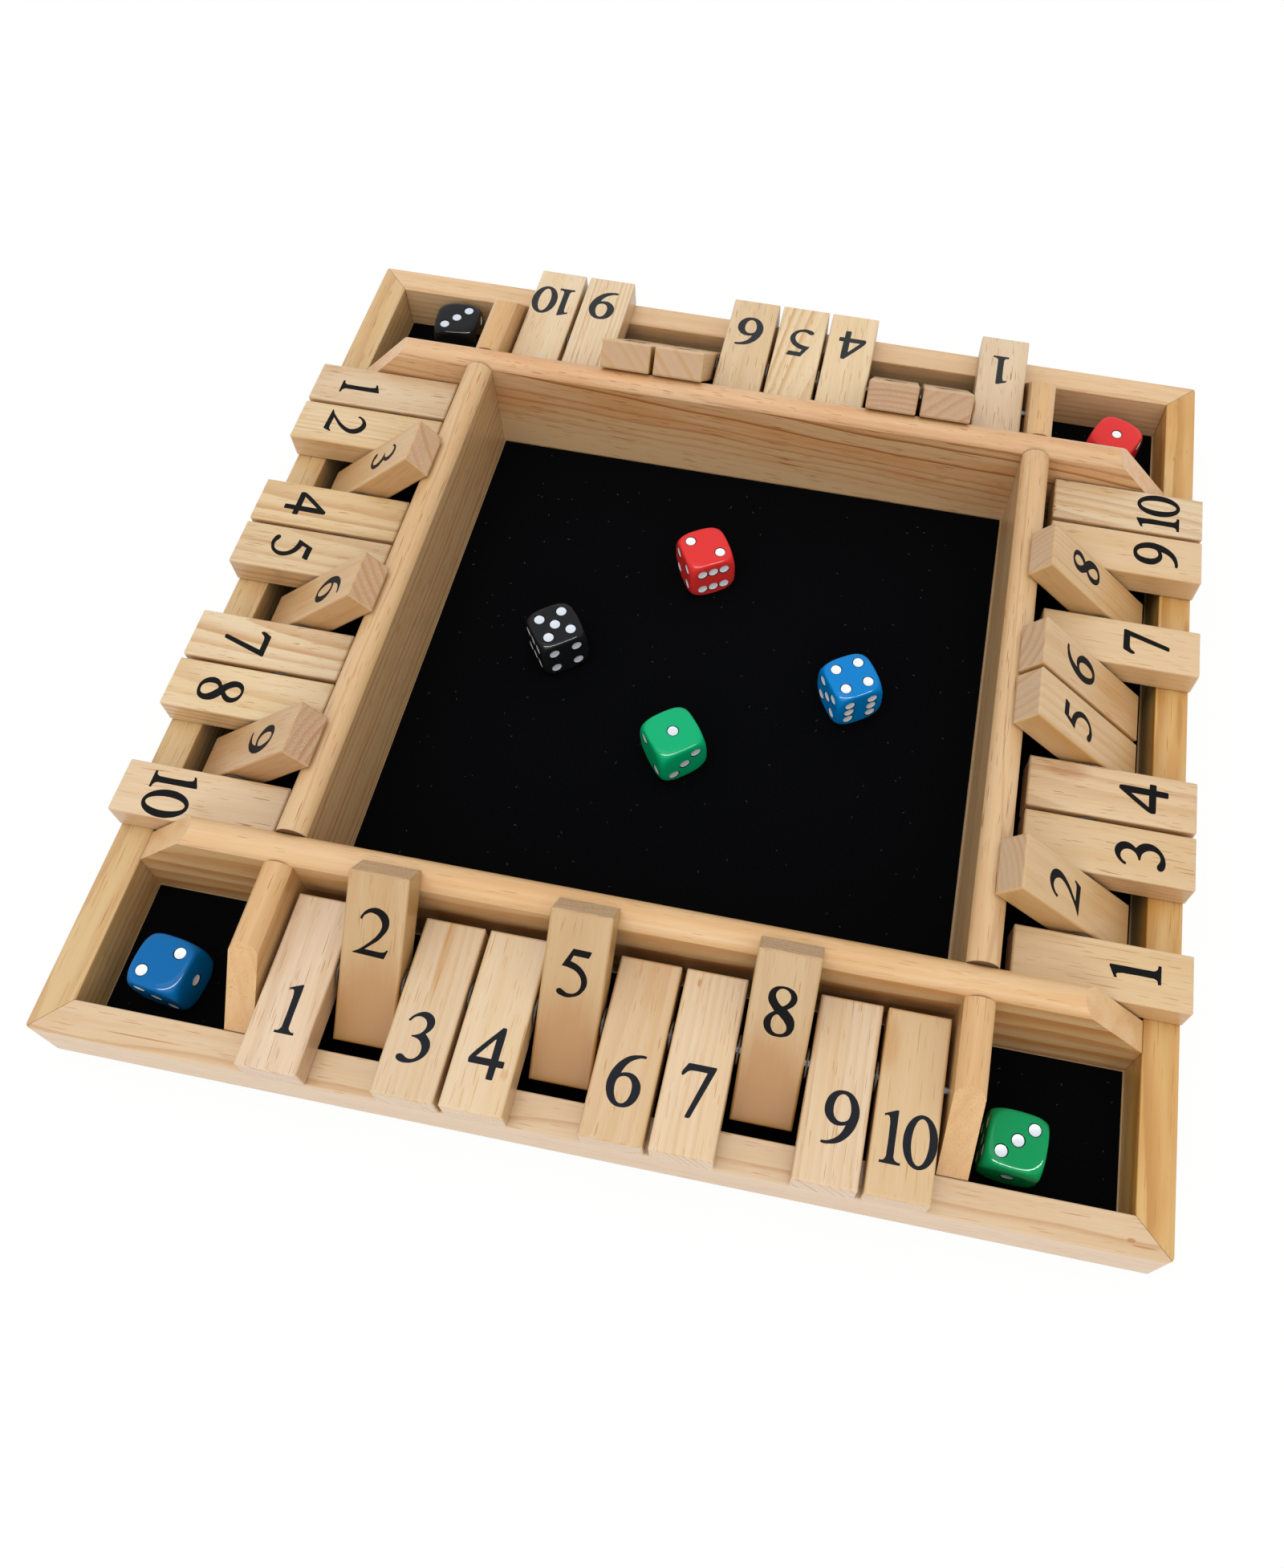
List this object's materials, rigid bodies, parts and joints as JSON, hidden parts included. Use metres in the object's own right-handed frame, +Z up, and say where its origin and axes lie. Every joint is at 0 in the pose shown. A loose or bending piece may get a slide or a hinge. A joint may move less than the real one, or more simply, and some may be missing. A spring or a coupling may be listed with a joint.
{
  "type": "shut the box game",
  "caption": "Square wooden four-player dice board: felt arena, a row of number tiles that turn over on a steel rod along each side, and a die well in each corner.",
  "frame": {"origin": "centre of the board's underside, on the table", "axes": "+Z up; +X to the right and +Y to the rear, along the board's sides, as seen by the player at the front"},
  "size_m": [0.306, 0.306, 0.0483],
  "materials": {
    "pine": "clear lacquered pine, satin",
    "tile_pine": "clear lacquered pale pine, satin",
    "plywood": "thin plywood, plain",
    "felt": "black felt",
    "steel": "drawn steel rod",
    "nylon": "translucent nylon",
    "dice_red": "polished",
    "dice_black": "polished",
    "dice_blue": "polished",
    "dice_green": "polished"
  },
  "bodies": {
    "board": {"rail_front": "pine", "rail_right": "pine", "rail_rear": "pine", "rail_left": "pine", "long_wall_front": "pine", "long_wall_rear": "pine", "short_walls": "pine", "dividers": "pine", "base_board": "plywood", "felt": "felt", "rods": "steel", "washers": "nylon"},
    "tile_front_1": {"tile_front_1": "tile_pine"},
    "tile_front_2": {"tile_front_2": "tile_pine"},
    "tile_front_3": {"tile_front_3": "tile_pine"},
    "tile_front_4": {"tile_front_4": "tile_pine"},
    "tile_front_5": {"tile_front_5": "tile_pine"},
    "tile_front_6": {"tile_front_6": "tile_pine"},
    "tile_front_7": {"tile_front_7": "tile_pine"},
    "tile_front_8": {"tile_front_8": "tile_pine"},
    "tile_front_9": {"tile_front_9": "tile_pine"},
    "tile_front_10": {"tile_front_10": "tile_pine"},
    "tile_right_1": {"tile_right_1": "tile_pine"},
    "tile_right_2": {"tile_right_2": "tile_pine"},
    "tile_right_3": {"tile_right_3": "tile_pine"},
    "tile_right_4": {"tile_right_4": "tile_pine"},
    "tile_right_5": {"tile_right_5": "tile_pine"},
    "tile_right_6": {"tile_right_6": "tile_pine"},
    "tile_right_7": {"tile_right_7": "tile_pine"},
    "tile_right_8": {"tile_right_8": "tile_pine"},
    "tile_right_9": {"tile_right_9": "tile_pine"},
    "tile_right_10": {"tile_right_10": "tile_pine"},
    "tile_rear_1": {"tile_rear_1": "tile_pine"},
    "tile_rear_2": {"tile_rear_2": "tile_pine"},
    "tile_rear_3": {"tile_rear_3": "tile_pine"},
    "tile_rear_4": {"tile_rear_4": "tile_pine"},
    "tile_rear_5": {"tile_rear_5": "tile_pine"},
    "tile_rear_6": {"tile_rear_6": "tile_pine"},
    "tile_rear_7": {"tile_rear_7": "tile_pine"},
    "tile_rear_8": {"tile_rear_8": "tile_pine"},
    "tile_rear_9": {"tile_rear_9": "tile_pine"},
    "tile_rear_10": {"tile_rear_10": "tile_pine"},
    "tile_left_1": {"tile_left_1": "tile_pine"},
    "tile_left_2": {"tile_left_2": "tile_pine"},
    "tile_left_3": {"tile_left_3": "tile_pine"},
    "tile_left_4": {"tile_left_4": "tile_pine"},
    "tile_left_5": {"tile_left_5": "tile_pine"},
    "tile_left_6": {"tile_left_6": "tile_pine"},
    "tile_left_7": {"tile_left_7": "tile_pine"},
    "tile_left_8": {"tile_left_8": "tile_pine"},
    "tile_left_9": {"tile_left_9": "tile_pine"},
    "tile_left_10": {"tile_left_10": "tile_pine"},
    "die_arena_red": {"die_arena_red": "dice_red"},
    "die_arena_black": {"die_arena_black": "dice_black"},
    "die_arena_blue": {"die_arena_blue": "dice_blue"},
    "die_arena_green": {"die_arena_green": "dice_green"},
    "die_well_blue": {"die_well_blue": "dice_blue"},
    "die_well_green": {"die_well_green": "dice_green"},
    "die_well_red": {"die_well_red": "dice_red"},
    "die_well_black": {"die_well_black": "dice_black"}
  },
  "joints": [
    {"name": "turn_front_1", "type": "hinge", "parent": "board", "child": "tile_front_1", "pos_m": [-0.0819, -0.12202, 0.02437], "axis": [-1, 0, 0], "range_deg": [0, 137.94]},
    {"name": "turn_front_2", "type": "hinge", "parent": "board", "child": "tile_front_2", "pos_m": [-0.0637, -0.12202, 0.02437], "axis": [-1, 0, 0], "range_deg": [-137.94, 0]},
    {"name": "turn_front_3", "type": "hinge", "parent": "board", "child": "tile_front_3", "pos_m": [-0.0455, -0.12202, 0.02437], "axis": [-1, 0, 0], "range_deg": [0, 137.94]},
    {"name": "turn_front_4", "type": "hinge", "parent": "board", "child": "tile_front_4", "pos_m": [-0.0273, -0.12202, 0.02437], "axis": [-1, 0, 0], "range_deg": [0, 137.94]},
    {"name": "turn_front_5", "type": "hinge", "parent": "board", "child": "tile_front_5", "pos_m": [-0.0091, -0.12202, 0.02437], "axis": [-1, 0, 0], "range_deg": [-137.94, 0]},
    {"name": "turn_front_6", "type": "hinge", "parent": "board", "child": "tile_front_6", "pos_m": [0.0091, -0.12202, 0.02437], "axis": [-1, 0, 0], "range_deg": [0, 137.94]},
    {"name": "turn_front_7", "type": "hinge", "parent": "board", "child": "tile_front_7", "pos_m": [0.0273, -0.12202, 0.02437], "axis": [-1, 0, 0], "range_deg": [0, 137.94]},
    {"name": "turn_front_8", "type": "hinge", "parent": "board", "child": "tile_front_8", "pos_m": [0.0455, -0.12202, 0.02437], "axis": [-1, 0, 0], "range_deg": [-137.94, 0]},
    {"name": "turn_front_9", "type": "hinge", "parent": "board", "child": "tile_front_9", "pos_m": [0.0637, -0.12202, 0.02437], "axis": [-1, 0, 0], "range_deg": [0, 137.94]},
    {"name": "turn_front_10", "type": "hinge", "parent": "board", "child": "tile_front_10", "pos_m": [0.0819, -0.12202, 0.02437], "axis": [-1, 0, 0], "range_deg": [0, 137.94]},
    {"name": "turn_right_1", "type": "hinge", "parent": "board", "child": "tile_right_1", "pos_m": [0.12202, -0.0819, 0.02437], "axis": [0, -1, 0], "range_deg": [0, 137.94]},
    {"name": "turn_right_2", "type": "hinge", "parent": "board", "child": "tile_right_2", "pos_m": [0.12202, -0.0637, 0.02437], "axis": [0, -1, 0], "range_deg": [-137.94, 0]},
    {"name": "turn_right_3", "type": "hinge", "parent": "board", "child": "tile_right_3", "pos_m": [0.12202, -0.0455, 0.02437], "axis": [0, -1, 0], "range_deg": [0, 137.94]},
    {"name": "turn_right_4", "type": "hinge", "parent": "board", "child": "tile_right_4", "pos_m": [0.12202, -0.0273, 0.02437], "axis": [0, -1, 0], "range_deg": [0, 137.94]},
    {"name": "turn_right_5", "type": "hinge", "parent": "board", "child": "tile_right_5", "pos_m": [0.12202, -0.0091, 0.02437], "axis": [0, -1, 0], "range_deg": [-137.94, 0]},
    {"name": "turn_right_6", "type": "hinge", "parent": "board", "child": "tile_right_6", "pos_m": [0.12202, 0.0091, 0.02437], "axis": [0, -1, 0], "range_deg": [-137.94, 0]},
    {"name": "turn_right_7", "type": "hinge", "parent": "board", "child": "tile_right_7", "pos_m": [0.12202, 0.0273, 0.02437], "axis": [0, -1, 0], "range_deg": [0, 137.94]},
    {"name": "turn_right_8", "type": "hinge", "parent": "board", "child": "tile_right_8", "pos_m": [0.12202, 0.0455, 0.02437], "axis": [0, -1, 0], "range_deg": [-137.94, 0]},
    {"name": "turn_right_9", "type": "hinge", "parent": "board", "child": "tile_right_9", "pos_m": [0.12202, 0.0637, 0.02437], "axis": [0, -1, 0], "range_deg": [0, 137.94]},
    {"name": "turn_right_10", "type": "hinge", "parent": "board", "child": "tile_right_10", "pos_m": [0.12202, 0.0819, 0.02437], "axis": [0, -1, 0], "range_deg": [0, 137.94]},
    {"name": "turn_rear_1", "type": "hinge", "parent": "board", "child": "tile_rear_1", "pos_m": [0.0819, 0.12202, 0.02437], "axis": [1, 0, 0], "range_deg": [0, 137.94]},
    {"name": "turn_rear_2", "type": "hinge", "parent": "board", "child": "tile_rear_2", "pos_m": [0.0637, 0.12202, 0.02437], "axis": [1, 0, 0], "range_deg": [-137.94, 0]},
    {"name": "turn_rear_3", "type": "hinge", "parent": "board", "child": "tile_rear_3", "pos_m": [0.0455, 0.12202, 0.02437], "axis": [1, 0, 0], "range_deg": [-137.94, 0]},
    {"name": "turn_rear_4", "type": "hinge", "parent": "board", "child": "tile_rear_4", "pos_m": [0.0273, 0.12202, 0.02437], "axis": [1, 0, 0], "range_deg": [0, 137.94]},
    {"name": "turn_rear_5", "type": "hinge", "parent": "board", "child": "tile_rear_5", "pos_m": [0.0091, 0.12202, 0.02437], "axis": [1, 0, 0], "range_deg": [0, 137.94]},
    {"name": "turn_rear_6", "type": "hinge", "parent": "board", "child": "tile_rear_6", "pos_m": [-0.0091, 0.12202, 0.02437], "axis": [1, 0, 0], "range_deg": [0, 137.94]},
    {"name": "turn_rear_7", "type": "hinge", "parent": "board", "child": "tile_rear_7", "pos_m": [-0.0273, 0.12202, 0.02437], "axis": [1, 0, 0], "range_deg": [-137.94, 0]},
    {"name": "turn_rear_8", "type": "hinge", "parent": "board", "child": "tile_rear_8", "pos_m": [-0.0455, 0.12202, 0.02437], "axis": [1, 0, 0], "range_deg": [-137.94, 0]},
    {"name": "turn_rear_9", "type": "hinge", "parent": "board", "child": "tile_rear_9", "pos_m": [-0.0637, 0.12202, 0.02437], "axis": [1, 0, 0], "range_deg": [0, 137.94]},
    {"name": "turn_rear_10", "type": "hinge", "parent": "board", "child": "tile_rear_10", "pos_m": [-0.0819, 0.12202, 0.02437], "axis": [1, 0, 0], "range_deg": [0, 137.94]},
    {"name": "turn_left_1", "type": "hinge", "parent": "board", "child": "tile_left_1", "pos_m": [-0.12202, 0.0819, 0.02437], "axis": [0, 1, 0], "range_deg": [0, 137.94]},
    {"name": "turn_left_2", "type": "hinge", "parent": "board", "child": "tile_left_2", "pos_m": [-0.12202, 0.0637, 0.02437], "axis": [0, 1, 0], "range_deg": [0, 137.94]},
    {"name": "turn_left_3", "type": "hinge", "parent": "board", "child": "tile_left_3", "pos_m": [-0.12202, 0.0455, 0.02437], "axis": [0, 1, 0], "range_deg": [-137.94, 0]},
    {"name": "turn_left_4", "type": "hinge", "parent": "board", "child": "tile_left_4", "pos_m": [-0.12202, 0.0273, 0.02437], "axis": [0, 1, 0], "range_deg": [0, 137.94]},
    {"name": "turn_left_5", "type": "hinge", "parent": "board", "child": "tile_left_5", "pos_m": [-0.12202, 0.0091, 0.02437], "axis": [0, 1, 0], "range_deg": [0, 137.94]},
    {"name": "turn_left_6", "type": "hinge", "parent": "board", "child": "tile_left_6", "pos_m": [-0.12202, -0.0091, 0.02437], "axis": [0, 1, 0], "range_deg": [-137.94, 0]},
    {"name": "turn_left_7", "type": "hinge", "parent": "board", "child": "tile_left_7", "pos_m": [-0.12202, -0.0273, 0.02437], "axis": [0, 1, 0], "range_deg": [0, 137.94]},
    {"name": "turn_left_8", "type": "hinge", "parent": "board", "child": "tile_left_8", "pos_m": [-0.12202, -0.0455, 0.02437], "axis": [0, 1, 0], "range_deg": [0, 137.94]},
    {"name": "turn_left_9", "type": "hinge", "parent": "board", "child": "tile_left_9", "pos_m": [-0.12202, -0.0637, 0.02437], "axis": [0, 1, 0], "range_deg": [-137.94, 0]},
    {"name": "turn_left_10", "type": "hinge", "parent": "board", "child": "tile_left_10", "pos_m": [-0.12202, -0.0819, 0.02437], "axis": [0, 1, 0], "range_deg": [0, 137.94]},
    {"name": "lift_arena_red", "type": "slide", "parent": "board", "child": "die_arena_red", "axis": [0, 0, 1], "range_m": [0, 0.06]},
    {"name": "lift_arena_black", "type": "slide", "parent": "board", "child": "die_arena_black", "axis": [0, 0, 1], "range_m": [0, 0.06]},
    {"name": "lift_arena_blue", "type": "slide", "parent": "board", "child": "die_arena_blue", "axis": [0, 0, 1], "range_m": [0, 0.06]},
    {"name": "lift_arena_green", "type": "slide", "parent": "board", "child": "die_arena_green", "axis": [0, 0, 1], "range_m": [0, 0.06]},
    {"name": "lift_well_blue", "type": "slide", "parent": "board", "child": "die_well_blue", "axis": [0, 0, 1], "range_m": [0, 0.06]},
    {"name": "lift_well_green", "type": "slide", "parent": "board", "child": "die_well_green", "axis": [0, 0, 1], "range_m": [0, 0.06]},
    {"name": "lift_well_red", "type": "slide", "parent": "board", "child": "die_well_red", "axis": [0, 0, 1], "range_m": [0, 0.06]},
    {"name": "lift_well_black", "type": "slide", "parent": "board", "child": "die_well_black", "axis": [0, 0, 1], "range_m": [0, 0.06]}
  ]
}
